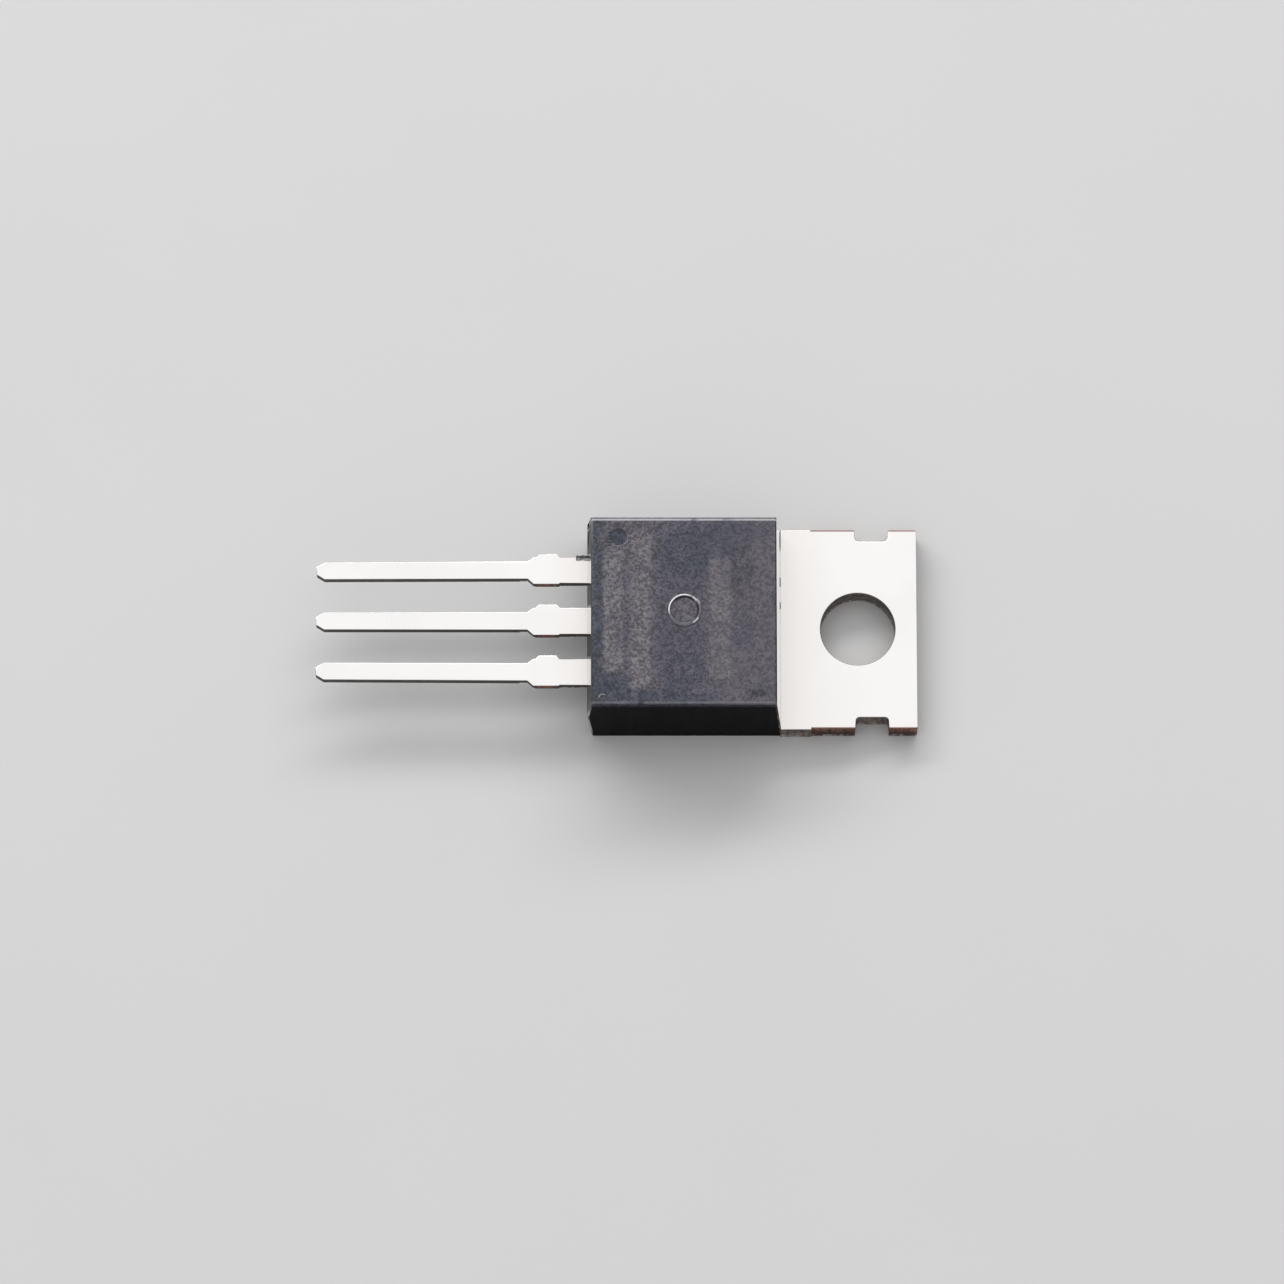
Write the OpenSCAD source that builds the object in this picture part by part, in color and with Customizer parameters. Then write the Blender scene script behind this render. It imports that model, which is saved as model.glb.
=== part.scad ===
// Insulated-gate bipolar transistor in a three-lead moulded package with a screw-mounted tab.
// The origin is on the mounting-hole axis, in the mounting face (z = 0). +X points to the free
// end of the tab, -X to the lead tips, and +Z out of the marked face. Units are millimetres.

/* [Moulded body] */
// Length of the moulding at its widest
body_l = 9.28; // [8.8:0.01:9.8]
// From the hole axis to the tab end of the moulding
hole_to_body = 3.72; // [3.2:0.01:4.2]
// Height of the marked face above the mounting face
body_h = 4.5; // [4.3:0.05:4.8]
// Width of the moulding at its base
body_base_w = 9.94; // [9.6:0.01:10.2]
// Width of the marked face
body_top_w = 9.33; // [9:0.01:9.5]
// How far the marked face stands back from the parting edge at the lead end
lead_end_top_draft = 0.2; // [0.05:0.01:0.4]
// How far the base stands back from the parting edge at the lead end
lead_end_base_draft = 0.22; // [0.05:0.01:0.4]
// How far the marked face stands back at the tab end
tab_end_draft = 0.22; // [0.05:0.01:0.4]
// Radius along the edges of the marked face
edge_r = 0.15; // [0.05:0.01:0.3]
// How far the plastic of the base stays above the metal of the mounting face
base_relief = 0.03; // [0.01:0.01:0.08]

/* [Marks in the moulded face] */
// Diameter of the round ejector mark at the surface
ejector_d = 1.36; // [1.2:0.02:2]
// Depth of the ejector mark
ejector_depth = 0.07; // [0.02:0.01:0.15]
// Width of the sloping rim of the ejector mark
ejector_rim = 0.06; // [0.02:0.01:0.1]
// From the lead end of the moulding to the centre of the ejector mark
ejector_from_end = 4.65; // [4:0.05:5.5]
// From the middle of the moulding to the centre of the ejector mark
ejector_offset = 0.06; // [-0.5:0.01:0.5]
// Diameter of the dimple that marks the first lead
dimple_d = 0.88; // [0.6:0.02:1.2]
// Depth of that dimple
dimple_depth = 0.04; // [0.02:0.01:0.1]
// From the lead end of the moulding to the centre of the dimple
dimple_from_end = 1.5; // [1:0.05:2]
// From the middle of the moulding to the centre of the dimple
dimple_offset = 3.67; // [3:0.01:4]
// Width of the scar that the broken-off resin gate leaves in the lead end
scar_w = 1.15; // [0.8:0.05:1.4]
// Height of that scar above the parting edge
scar_h = 0.9; // [0.5:0.05:1.3]
// Depth of the scar
scar_depth = 0.05; // [0.02:0.01:0.1]
// From the middle of the moulding to the middle of the scar
scar_offset = 4.15; // [3.9:0.05:4.2]

/* [Heat-sink tab] */
// Thickness of the heavy gauge of the frame
tab_t = 1.3; // [1.2:0.01:1.4]
// Width of the tab between its sheared sides
tab_w = 9.93; // [9.7:0.01:10.1]
// From the hole axis to the free end of the tab
tab_end = 2.85; // [2.6:0.01:3.2]
// Diameter of the mounting hole
hole_d = 3.6; // [3.4:0.01:3.9]
// From the hole axis back to the start of the sheared stretch
shear_start = 2.25; // [1.9:0.01:2.6]
// Extra width that the shear leaves on one side of the unsheared stretch
shear_step = 0.05; // [0.01:0.01:0.1]
// Radius of the free corners of the tab
tab_corner_r = 0.1; // [0.05:0.01:0.3]
// Width of the edge notches at their floor
notch_w = 1.56; // [1.2:0.02:2]
// Extra width of the notches at their mouth, in all
notch_flare = 0.06; // [0:0.01:0.2]
// Depth of the edge notches
notch_depth = 0.57; // [0.4:0.01:0.8]
// From the hole axis to the middle of the notches
notch_from_hole = 0.67; // [0.3:0.01:1]
// Radius in the corners of the notches
notch_r = 0.18; // [0.05:0.01:0.3]

/* [Die pad] */
// Width of the pad at the top, inside the plastic
pad_w = 8.7; // [8.3:0.05:9]
// Width of the pad where it shows in the mounting face
pad_base_w = 8.2; // [7.8:0.05:8.25]
// Height of the ledge that locks the pad into the plastic
pad_ledge_z = 0.6; // [0.4:0.05:0.9]
// From the lead end of the moulding to the pad
pad_from_end = 1.9; // [1.6:0.05:2.4]
// Radius of the half-round lock notches in the sides of the pad
lock_r = 0.45; // [0.3:0.05:0.6]
// Width of the moisture groove across the pad
groove_w = 0.4; // [0.2:0.05:0.6]
// Depth of the moisture groove
groove_depth = 0.15; // [0.05:0.01:0.25]

/* [Leads] */
// Distance between neighbouring leads
lead_pitch = 2.54; // [2.5:0.01:2.6]
// From the moulding to the tips of the leads
lead_l = 12.99; // [12:0.01:14]
// Thickness of the thin gauge of the frame
lead_t = 0.5; // [0.45:0.01:0.6]
// Height of the top of the leads above the mounting face
lead_top_z = 2.7; // [2.5:0.05:2.9]
// Width of the thin stretch where it starts
thin_w = 0.87; // [0.7:0.01:0.95]
// Width of the thin stretch just before the tip
tip_w = 0.85; // [0.7:0.01:0.9]
// Width of the flat end of the tip
tip_flat_w = 0.38; // [0.2:0.01:0.6]
// Length of the bevels at the tip
tip_bevel_l = 0.38; // [0.2:0.01:0.6]
// Width of the neck between the moulding and the cut dam bar
neck_w = 1.3; // [1.1:0.01:1.4]
// Length of the neck
neck_l = 1.31; // [1:0.01:1.6]
// How far the cut dam bar stands out of the neck on the side of the first lead
stub_first = 0.16; // [0.05:0.01:0.25]
// How far the cut dam bar stands out of the neck on the other side
stub_last = 0.045; // [0.02:0.005:0.2]
// Length of the ramp from the neck to the stub
stub_ramp_l = 0.165; // [0.05:0.005:0.3]
// Length of the cut face of the stub
stub_l = 0.865; // [0.6:0.005:1.1]
// Length of the ledge between the stub and the taper
ledge_l = 0.12; // [0.05:0.01:0.2]
// Length of the taper from the neck's width to the thin stretch
taper_l = 0.29; // [0.15:0.01:0.5]
// How far the tips of the outer leads lean in
lean = 0.04; // [0:0.01:0.1]

/* [Inner posts and riser] */
// Width of the bonding posts at the inner ends of the outer leads
post_w = 2.1; // [1.6:0.05:2.2]
// Length of the bonding posts
post_l = 1.1; // [0.9:0.05:1.2]
// Plastic between the posts and the lead end of the moulding
post_wall = 0.65; // [0.5:0.05:0.8]
// Radius of the corners of the posts
post_r = 0.2; // [0.1:0.05:0.4]
// Slope of the riser between the pad and the middle lead, in degrees
riser_angle = 60; // [50:1:70]
// Thin strip that lies level beside the pad before the riser
riser_foot = 0.2; // [0.1:0.05:0.3]

/* [Die] */
// Length of the silicon die along the part
die_l = 4.4; // [3:0.1:5]
// Width of the die
die_w = 4; // [3:0.1:5]
// Thickness of the die
die_t = 0.22; // [0.1:0.01:0.35]
// Thickness of the solder under the die
solder_t = 0.05; // [0.02:0.01:0.1]
// How far the solder stands out round the die
solder_fillet = 0.12; // [0.05:0.01:0.3]
// From the lead end of the pad to the die
die_from_pad_end = 1.1; // [0.8:0.05:1.6]

/* [Bond wires] */
// Diameter of the emitter wires
emitter_wire_d = 0.38; // [0.25:0.01:0.4]
// Distance between the emitter wires on the post
emitter_wire_pitch = 0.9; // [0.75:0.05:1.1]
// Diameter of the gate wire
gate_wire_d = 0.15; // [0.1:0.01:0.2]
// Height of the arc of each wire above the straight line between its bonds
wire_arc = 0.95; // [0.7:0.05:1.1]
// Length of a bonded wire foot, in wire diameters
foot_l_ratio = 2.2; // [1.5:0.1:2.6]
// Width of a bonded wire foot, in wire diameters
foot_w_ratio = 1.3; // [1.1:0.1:1.5]
// Height of a bonded wire foot, in wire diameters
foot_h_ratio = 0.5; // [0.3:0.05:0.7]

/* [Hidden] */
$fn = 64;
ARC_STEPS = 5;
CUT = 0.5;

compound = [0.2, 0.2, 0.22];
tinned_copper = [0.86, 0.86, 0.84];
silicon = [0.33, 0.35, 0.42];
solder = [0.62, 0.62, 0.64];
aluminium = [0.8, 0.81, 0.83];

// Stations along the part
body_x1 = -hole_to_body;
body_x0 = body_x1 - body_l;
pad_x0 = body_x0 + pad_from_end;
post_x0 = body_x0 + post_wall;
tip_x = body_x0 - lead_l;
die_x0 = pad_x0 + die_from_pad_end;
groove_x = body_x1 - groove_w * 1.5;

// Levels and half widths
lead_z = lead_top_z - lead_t;
thin_z = tab_t - lead_t;
die_z = tab_t + solder_t;
die_top = die_z + die_t;
first_y = lead_pitch;
last_y = -lead_pitch;
tab_y = tab_w / 2;

function unit(v) = v / norm(v);

// Points of the arc of radius r that rounds corner b between its neighbours a and c
function rounded(a, b, c, r) =
    let (
        u = unit(a - b),
        v = unit(c - b),
        half = acos(u * v) / 2,
        centre = b + unit(u + v) * r / sin(half),
        from = b + u * r / tan(half) - centre,
        to = b + v * r / tan(half) - centre,
        start = atan2(from.y, from.x),
        sweep = (atan2(to.y, to.x) - start + 540) % 360 - 180
    )
    [for (i = [0:ARC_STEPS]) let (t = start + sweep * i / ARC_STEPS) centre + r * [cos(t), sin(t)]];

// Corner points p of a closed outline, each rounded by its own radius in r (0 leaves it sharp)
function outline(p, r) =
    let (n = len(p))
    [for (i = [0:n - 1])
        each r[i] > 0 ? rounded(p[(i + n - 1) % n], p[i], p[(i + 1) % n], r[i]) : [p[i]]];

// ---- moulded body ----

// Length section: parting edge level with the top of the leads, drafts above and below it
module length_section() {
    polygon(outline(
        [
            [body_x0 + lead_end_base_draft, base_relief],
            [body_x1, base_relief],
            [body_x1, tab_t],
            [body_x1 - tab_end_draft, body_h],
            [body_x0 + lead_end_top_draft, body_h],
            [body_x0, lead_top_z]
        ],
        [0, 0, 0, edge_r, edge_r, 0]
    ));
}

// Cross section: the sides narrow from the base to the marked face
module cross_section() {
    base_y = body_base_w / 2;
    top_y = body_top_w / 2;
    polygon(outline(
        [[-base_y, 0], [base_y, 0], [top_y, body_h], [-top_y, body_h]],
        [0, 0, edge_r, edge_r]
    ));
}

module body_blank() {
    intersection() {
        translate([0, body_base_w, 0])
            rotate([90, 0, 0])
                linear_extrude(2 * body_base_w) length_section();
        translate([body_x0 - CUT, 0, 0])
            rotate([90, 0, 90])
                linear_extrude(body_l + 2 * CUT) cross_section();
    }
}

// Shallow round mark with a sloping rim
module face_mark(x, y, d, rim, depth) {
    slope = rim / depth;
    translate([x, y, body_h - depth])
        cylinder(h = depth + CUT, d1 = d - 2 * rim, d2 = d + 2 * slope * CUT);
}

// Shallow scar above the parting edge of the lead end, parallel to the drafted face
module gate_scar() {
    back_x = body_x0 + scar_depth;
    slant = lead_end_top_draft * scar_h / (body_h - lead_top_z);
    top_z = lead_top_z + scar_h;
    translate([0, scar_offset + scar_w / 2, 0])
        rotate([90, 0, 0])
            linear_extrude(scar_w)
                polygon([[body_x0 - CUT, lead_top_z], [back_x, lead_top_z],
                    [back_x + slant, top_z], [body_x0 - CUT, top_z]]);
}

module moulded_body() {
    color(compound)
        difference() {
            body_blank();
            face_mark(body_x0 + ejector_from_end, ejector_offset, ejector_d, ejector_rim, ejector_depth);
            face_mark(body_x0 + dimple_from_end, dimple_offset, dimple_d, dimple_depth, dimple_depth);
            gate_scar();
            collector_shape();
            outer_lead_shape(first_y);
            outer_lead_shape(last_y);
            solder_shape();
            die_shape();
            for (i = [0, 1]) emitter_wire_shape(i);
            gate_wire_shape();
        }
}

// ---- lead frame ----

// Outline of one lead from root_x out to its tip, on the line y, its tip leaning by tip_shift
module lead_plan(y, root_x, tip_shift) {
    neck_y = neck_w / 2;
    thin_y = thin_w / 2;
    tip_y = tip_w / 2;
    flat_y = tip_flat_w / 2;
    neck_x = body_x0 - neck_l;
    ramp_x = neck_x - stub_ramp_l;
    stub_x = ramp_x - stub_l;
    step_x = stub_x - ledge_l;
    ledge_x = step_x - ledge_l;
    thin_x = ledge_x - taper_l;
    bevel_x = tip_x + tip_bevel_l;
    polygon([
        [root_x, y + neck_y],
        [neck_x, y + neck_y],
        [ramp_x, y + neck_y + stub_first],
        [stub_x, y + neck_y + stub_first],
        [step_x, y + neck_y],
        [ledge_x, y + neck_y],
        [thin_x, y + thin_y],
        [bevel_x, y + tip_shift + tip_y],
        [tip_x, y + tip_shift + flat_y],
        [tip_x, y + tip_shift - flat_y],
        [bevel_x, y + tip_shift - tip_y],
        [thin_x, y - thin_y],
        [ledge_x, y - neck_y - stub_last],
        [neck_x - stub_last, y - neck_y - stub_last],
        [neck_x, y - neck_y],
        [root_x, y - neck_y]
    ]);
}

module lead_shape(y, root_x, tip_shift) {
    translate([0, 0, lead_z])
        linear_extrude(lead_t) lead_plan(y, root_x, tip_shift);
}

// Outer lead with its bonding post, which stays in the plastic
module outer_lead_shape(y) {
    post_y = post_w / 2;
    post_x1 = post_x0 + post_l;
    lead_shape(y, post_x0 + post_r, -sign(y) * lean);
    translate([0, y, lead_z])
        linear_extrude(lead_t)
            polygon(outline(
                [[post_x0, -post_y], [post_x1, -post_y], [post_x1, post_y], [post_x0, post_y]],
                [post_r, post_r, post_r, post_r]
            ));
}

module notch_plan() {
    floor_y = tab_y - notch_depth;
    mouth_y = tab_y + CUT;
    floor_half = notch_w / 2;
    mouth_half = floor_half + notch_flare / 2 * (mouth_y - floor_y) / notch_depth;
    translate([notch_from_hole, 0])
        polygon(outline(
            [[-floor_half, floor_y], [floor_half, floor_y], [mouth_half, mouth_y], [-mouth_half, mouth_y]],
            [notch_r, notch_r, 0, 0]
        ));
}

// Tab: exposed, with the screw hole and the two edge notches
module tab_shape() {
    difference() {
        linear_extrude(tab_t)
            difference() {
                polygon(outline(
                    [
                        [body_x1, -tab_y - shear_step],
                        [-shear_start, -tab_y - shear_step],
                        [-shear_start, -tab_y],
                        [tab_end, -tab_y],
                        [tab_end, tab_y],
                        [body_x1, tab_y]
                    ],
                    [0, 0, 0, tab_corner_r, tab_corner_r, 0]
                ));
                notch_plan();
                mirror([0, 1]) notch_plan();
            }
        translate([0, 0, -CUT]) cylinder(h = tab_t + 2 * CUT, d = hole_d);
    }
}

// Pad: bare in the mounting face, wider above its ledge so that the plastic holds it
module pad_shape() {
    pad_l = body_x1 - pad_x0;
    difference() {
        union() {
            translate([pad_x0, -pad_base_w / 2, 0])
                cube([pad_l, pad_base_w, tab_t]);
            translate([pad_x0, -pad_w / 2, pad_ledge_z])
                cube([pad_l, pad_w, tab_t - pad_ledge_z]);
        }
        for (side = [-1, 1])
            translate([pad_x0 + pad_l * 0.45, side * pad_w / 2, -CUT])
                cylinder(h = tab_t + 2 * CUT, r = lock_r);
        translate([groove_x, pad_w, tab_t])
            rotate([90, 0, 0])
                linear_extrude(2 * pad_w)
                    polygon([[-groove_w / 2, CUT], [-groove_w / 2, 0], [0, -groove_depth],
                        [groove_w / 2, 0], [groove_w / 2, CUT]]);
    }
}

// Thin strip that leaves the pad, climbs to lead height and meets the middle lead
module riser_shape() {
    rise = lead_z - thin_z;
    run = rise / tan(riser_angle);
    shift = lead_t * tan(riser_angle / 2);
    foot_x = pad_x0 - riser_foot;
    head_x = foot_x - run;
    translate([0, neck_w / 2, 0])
        rotate([90, 0, 0])
            linear_extrude(neck_w)
                polygon([
                    [pad_x0 + riser_foot, thin_z],
                    [foot_x - shift, thin_z],
                    [head_x - shift, lead_z],
                    [body_x0, lead_z],
                    [body_x0, lead_top_z],
                    [head_x, lead_top_z],
                    [foot_x, tab_t],
                    [pad_x0 + riser_foot, tab_t]
                ]);
}

module collector_shape() {
    tab_shape();
    pad_shape();
    riser_shape();
    lead_shape(0, body_x0, 0);
}

module collector_frame() {
    color(tinned_copper) collector_shape();
}

module gate_lead() {
    color(tinned_copper) outer_lead_shape(first_y);
}

module emitter_lead() {
    color(tinned_copper) outer_lead_shape(last_y);
}

// ---- die, solder and bond wires ----

module die_shape() {
    translate([die_x0, -die_w / 2, die_z]) cube([die_l, die_w, die_t]);
}

module solder_shape() {
    translate([die_x0 - solder_fillet, -die_w / 2 - solder_fillet, tab_t])
        cube([die_l + 2 * solder_fillet, die_w + 2 * solder_fillet, solder_t]);
}

module wire_foot(d, z) {
    foot_w = foot_w_ratio * d;
    translate([-foot_l_ratio * d / 2, -foot_w / 2, z])
        cube([foot_l_ratio * d, foot_w, foot_h_ratio * d]);
}

// Wire of diameter d that arcs in an upright plane from the die at a to a post at b,
// with a flattened foot on each
module bond_wire(a, b, d) {
    run = norm(b - a);
    rise = lead_top_z - die_top;
    chord = norm([run, rise]);
    bend_r = (pow(chord / 2, 2) + pow(wire_arc, 2)) / (2 * wire_arc);
    half = asin(chord / 2 / bend_r);
    tilt = atan2(rise, run);
    drop = bend_r - wire_arc;
    start_z = die_top + foot_h_ratio * d / 2;
    below = lead_top_z + d;
    translate([a.x, a.y, 0])
        rotate([0, 0, atan2(b.y - a.y, b.x - a.x)]) {
            difference() {
                translate([run / 2 + drop * sin(tilt), 0, start_z + rise / 2 - drop * cos(tilt)])
                    rotate([90, 0, 0])
                        rotate([0, 0, 90 + tilt - half])
                            rotate_extrude(angle = 2 * half) translate([bend_r, 0]) circle(d = d, $fn = 24);
                translate([-run / 2, -d, die_top - below]) cube([run, 2 * d, below]);
                translate([run / 2, -d, lead_top_z - below]) cube([run, 2 * d, below]);
            }
            wire_foot(d, die_top);
            translate([run, 0, 0]) wire_foot(d, lead_top_z);
        }
}

// Emitter wire i, 0 or 1: both run from the emitter face of the die to the emitter post
module emitter_wire_shape(i) {
    post_y = last_y + (0.5 - i) * emitter_wire_pitch;
    bond_wire(
        [die_x0 + die_l * 0.45, -die_w * (0.06 + 0.28 * i)],
        [post_x0 + post_l / 2, post_y],
        emitter_wire_d
    );
}

module gate_wire_shape() {
    bond_wire([die_x0 + die_l * 0.14, die_w * 0.36], [post_x0 + post_l / 2, first_y], gate_wire_d);
}

module igbt_die() {
    color(silicon) die_shape();
}

module die_solder() {
    color(solder) solder_shape();
}

module emitter_wire_1() {
    color(aluminium) emitter_wire_shape(0);
}

module emitter_wire_2() {
    color(aluminium) emitter_wire_shape(1);
}

module gate_wire() {
    color(aluminium) gate_wire_shape();
}

moulded_body();
collector_frame();
gate_lead();
emitter_lead();
igbt_die();
die_solder();
emitter_wire_1();
emitter_wire_2();
gate_wire();
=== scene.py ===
"""Finish and stage for a three-lead power transistor in a moulded package with a screw-mounted tab.

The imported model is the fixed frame. Copies of its moulding and lead frame get their rounded, rolled and
torn edges here, every piece gets a procedural finish, and a pale studio is set up round them.
"""

import math

import bmesh
import bpy
from mathutils import Matrix, Vector
from mathutils.bvhtree import BVHTree
from mathutils.noise import noise as wobble


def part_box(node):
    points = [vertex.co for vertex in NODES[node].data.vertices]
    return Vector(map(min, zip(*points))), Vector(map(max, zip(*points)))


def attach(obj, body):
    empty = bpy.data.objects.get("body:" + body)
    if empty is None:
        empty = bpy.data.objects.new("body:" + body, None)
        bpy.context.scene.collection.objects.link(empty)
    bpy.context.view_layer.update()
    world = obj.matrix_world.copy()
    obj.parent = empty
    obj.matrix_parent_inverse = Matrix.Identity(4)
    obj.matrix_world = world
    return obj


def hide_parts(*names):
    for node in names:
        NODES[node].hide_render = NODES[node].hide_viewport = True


bl_info = {
    "name": "Power Transistor Builder",
    "version": (1, 0, 0),
    "blender": (4, 5, 0),
    "location": "3D View > Sidebar > Transistor",
    "description": "Builds the finished pieces of a moulded three-lead power transistor on its frame",
    "category": "Object",
}

BODY = "root"
EDGE_LAYER = "rounded_edge"
MM = 0.001
# Farther out than any side of the part
BEYOND = 1.0
# Sockets of a Mix node by what it mixes: factor, first, second, and the result
MIX_SOCKETS = {"FLOAT": (0, 2, 3, 0), "RGBA": (0, 6, 7, 2)}

# Angles between neighbouring faces: a surface is curved from the first to the third, an edge can be
# rounded from the second, and what is left from the fourth stays crisp
CURVE_ANGLE = math.radians(1)
SHARP_ANGLE = math.radians(20)
ROUND_ANGLE = math.radians(26)
CRISP_ANGLE = math.radians(40)

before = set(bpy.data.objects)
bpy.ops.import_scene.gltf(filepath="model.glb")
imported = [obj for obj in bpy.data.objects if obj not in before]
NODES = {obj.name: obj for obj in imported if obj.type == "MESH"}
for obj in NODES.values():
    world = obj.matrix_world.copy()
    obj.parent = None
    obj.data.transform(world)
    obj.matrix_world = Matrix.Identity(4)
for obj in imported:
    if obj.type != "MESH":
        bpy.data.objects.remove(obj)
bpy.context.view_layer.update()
body_low, body_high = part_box("moulded_body")
metal_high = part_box("collector_frame")[1]
gate_low, gate_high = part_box("gate_lead")
marked_face = [v.co for v in NODES["moulded_body"].data.vertices if v.co.z > body_high.z - 0.001 * MM]
face_end_x = min(point.x for point in marked_face)
face_edge_y = max(point.y for point in marked_face)

TAB_TOP = 1.3 * MM
HOLE_RADIUS = 1.8 * MM
# Outside the moulding, only the leads lie above this height
LEADS_ABOVE = 2.0 * MM
# Slots of the moulding's finishes
ERODED, SIDE, END = range(3)
# The moulding's upright corners lie this near to its ends, and the rims of its face this near to its top
CORNER_REACH = 0.4 * MM
RIM_REACH = 0.2 * MM
# Changes per metre in the shapes of broken resin
SCAR_GRAIN = 4000.0
FLASH_GRAIN = 6000.0
CRUMB_GRAIN = 9000.0

# Bluer areas of the marked face: middle (x, y), radii along and across, share; millimetres
COOL_AREAS = (
    (-8.6, 0.0, 1.7, 9.0, 0.6),
    (-8.2, 2.9, 2.0, 2.3, 0.85),
    (-6.6, 3.6, 2.0, 1.5, 0.8),
    (-11.9, -3.9, 1.5, 1.4, 1.0),
    (-9.2, -4.4, 3.4, 0.8, 0.95),
    (-8.4, -3.1, 1.5, 2.0, 0.8),
)
# Paler bands of the marked face: from x to x, from y to y; millimetres
PALE_BANDS = (
    (-12.05, -11.45, -2.9, 2.9),
    (-10.80, -10.10, -3.7, 3.7),
    (-7.00, -6.30, -3.2, 2.4),
)
# Darker marks on the face: middle (x, y), radii along and across in millimetres, then the shares of
# the radii between which they fade
FLECKED_CORNER = (-4.92, -4.1, 0.6, 0.2, 0.6, 1.1)
FLECKED_END = (-5.62, 1.9, 0.75, 1.9, 0.4, 1.1)
STAINED_EDGE = (-10.6, -4.45, 2.9, 0.75, 0.5, 1.1)
# The grain of the face calms down from this x to this
CALM_STRETCH = (-8.6 * MM, -6.2 * MM)
# Spacing of the teeth along the dimple's edge
TOOTH_SPACING = 0.16 * MM
# The rubbed lines, partly a painted highlight, lie this far to the emitter side of the face's edges
LINE_SHIFT = 0.017 * MM
# Painted highlights and painted shade on the ring round the ejector mark:
# radius and half width in millimetres, direction and reach to both sides in degrees, strength
LIP_HIGHLIGHTS = (
    (0.735, 0.045, 130, 74, 1.0),
    (0.735, 0.060, 47, 13, 0.6),
    (0.800, 0.055, 32, 13, 0.35),
    (0.770, 0.040, -44, 15, 0.9),
)
LIP_SHADE = (
    (0.630, 0.055, 88, 52, 0.95),
    (0.670, 0.060, -8, 42, 0.95),
    (0.805, 0.045, 200, 45, 0.6),
    (0.860, 0.060, -85, 50, 0.6),
)
# A light scratch at the lead-side corner in the same terms, and the middle of its ring
CORNER_SCRATCH = ((0.200, 0.040, 110, 70, 0.3),)
SCRATCH_PLACE = (-12.24 * MM, -4.35 * MM)
# The gloss over a lead leans towards the emitter side by this share of its height
GLOSS_LEAN = 0.29
# Dark dashes of resin bleed in the painted shade where the moulding meets the tab: from y to y; millimetres
SEAM_DASHES = ((2.15, 2.55), (1.05, 1.30))
# Shares of the tin's red, green and blue beside the moulding
WARM_SHARES = (0.965, 0.945, 0.935)
# Resin crumbs on the parting edge: place from the lead end (x, y, z), then size; millimetres
CRUMBS = (
    (0.03, 4.76, 0.02, (0.06, 0.12, 0.06)),
    (0.03, 3.57, 0.02, (0.06, 0.12, 0.06)),
    (0.05, 1.95, 0.0, (0.10, 0.13, 0.05)),
)


# ---- settings a user would change ----

def length(name, description, millimetres):
    return bpy.props.FloatProperty(
        name=name,
        description=description,
        default=millimetres * MM,
        unit="LENGTH",
        subtype="DISTANCE",
        min=0.0,
    )


def colour(name, description, default):
    return bpy.props.FloatVectorProperty(
        name=name, description=description, default=default, subtype="COLOR", size=3, min=0.0, max=1.0
    )


def factor(name, description, default, high=1.0):
    return bpy.props.FloatProperty(name=name, description=description, default=default, min=0.0, max=high)


class TransistorSizes(bpy.types.PropertyGroup):
    corner_radius: length("Moulding corners", "Radius of the moulding's upright corners", 0.09)
    parting_radius: length("Parting edge", "Radius of the edge where the mould halves meet", 0.03)
    mark_radius: length("Mark rims", "Radius on the rims of the round marks", 0.015)
    ejector_radius: length("Ejector mark", "Radius of the round ejector mark", 0.68)
    ejector_from_end: length("Ejector place", "From the lead end to the ejector mark", 4.65)
    ejector_offset: length("Ejector offset", "From the middle to the ejector mark", 0.06)
    lip_crest: length("Lip crest", "Width of the flat top of the lip round the ejector mark", 0.05)
    lip_slope: length("Lip slope", "Width of the outer slope of that lip", 0.06)
    lip_drop: length("Lip drop", "Depth of the furrow outside the lip", 0.03)
    dish_width: length("Lip dish", "Width of the sunken ring outside the lip", 0.2)
    dimple_radius: length("Dimple", "Radius of the dimple that marks the gate lead", 0.44)
    dimple_from_end: length("Dimple place", "From the lead end to the dimple", 1.5)
    dimple_offset: length("Dimple offset", "From the middle to the dimple", 3.67)
    scar_roughness: length("Gate scar", "How far the broken resin gate is uneven", 0.02)
    rollover: length("Punch rollover", "Radius that the punch rolls onto the tab's upper edges", 0.05)
    metal_radius: length("Metal edges", "Radius of the other edges of the lead frame", 0.025)
    shear_start: length("Shear start", "From the hole axis back to the start of the sheared sides", 2.25)
    dam_bar_start: length("Dam bar", "From the moulding to the cut dam bar", 1.475)
    dam_bar_length: length("Dam bar length", "Length of the cut face of the dam bar", 0.865)
    lead_pitch: length("Lead pitch", "Distance between neighbouring leads", 2.54)
    neck_width: length("Neck width", "Width of a lead beside the moulding", 1.3)
    flash_length: length("Resin flash", "How far the resin flash runs out along the gate lead", 0.56)
    flash_width: length("Flash width", "Width of the resin flash on the gate lead", 0.26)
    flash_thickness: length("Flash thickness", "Thickness of the resin flash", 0.03)


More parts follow.
